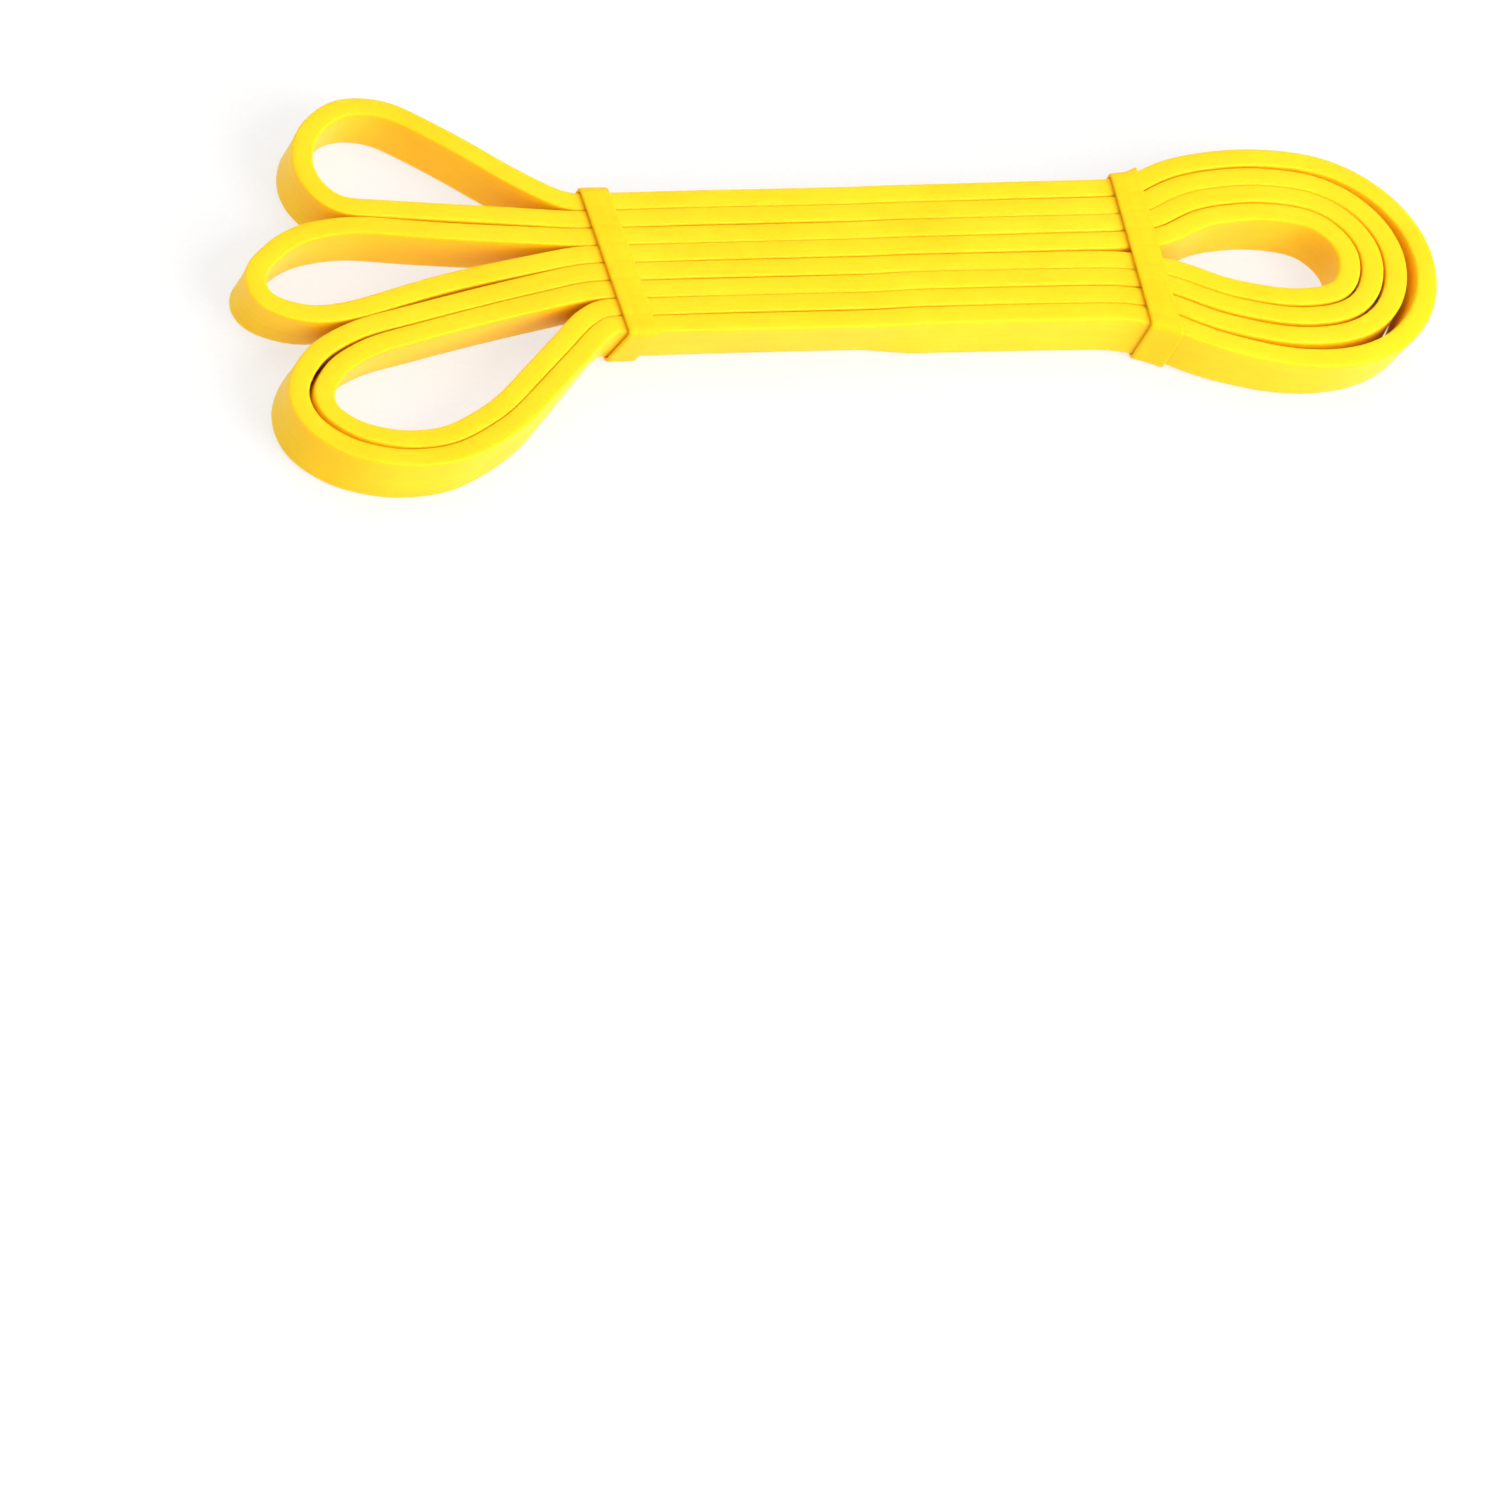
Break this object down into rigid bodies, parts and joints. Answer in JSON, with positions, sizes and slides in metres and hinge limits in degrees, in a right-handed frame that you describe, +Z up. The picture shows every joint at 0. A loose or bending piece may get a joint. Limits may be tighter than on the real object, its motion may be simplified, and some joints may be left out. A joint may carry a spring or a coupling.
{
  "type": "resistance band",
  "caption": "Endless latex resistance band folded into a flat bundle, with a fan of loops at one end, a nested fold at the other and two elastic ties.",
  "frame": {"origin": "centre of the footprint, on the surface that the bundle lies on", "axes": "+X along the bundle from the fan of loops to the nested fold, +Y across the runs to the far loop, +Z up across the band's width"},
  "size_m": [0.2559, 0.0956, 0.015],
  "materials": {
    "band_latex": "satin",
    "tie_latex": "matte"
  },
  "bodies": {
    "bundle": {"middle_fan_loop": "band_latex", "fold_strand_outer": "band_latex", "fold_strand_second": "band_latex", "fold_strand_third": "band_latex", "fold_strand_inner": "band_latex"},
    "far_loop": {"far_fan_loop": "band_latex"},
    "near_loop": {"near_fan_loop_outer": "band_latex", "near_fan_loop_inner": "band_latex"},
    "fan_tie": {"fan_tie": "tie_latex"},
    "fold_tie": {"fold_tie": "tie_latex"}
  },
  "joints": [
    {"name": "far_loop_splay", "type": "hinge", "parent": "bundle", "child": "far_loop", "pos_m": [-0.05048, 0.02133, 0.0075], "axis": [0, 0, 1], "range_deg": [-14, 0], "stiffness_Nm_per_rad": 0.0127},
    {"name": "near_loop_splay", "type": "hinge", "parent": "bundle", "child": "near_loop", "pos_m": [-0.05048, -0.01502, 0.0075], "axis": [0, 0, 1], "range_deg": [0, 14], "stiffness_Nm_per_rad": 0.025},
    {"name": "fan_tie_slide", "type": "slide", "parent": "bundle", "child": "fan_tie", "axis": [1, 0, 0], "range_m": [0, 0.045]},
    {"name": "fold_tie_slide", "type": "slide", "parent": "bundle", "child": "fold_tie", "axis": [1, 0, 0], "range_m": [-0.045, 0]}
  ]
}
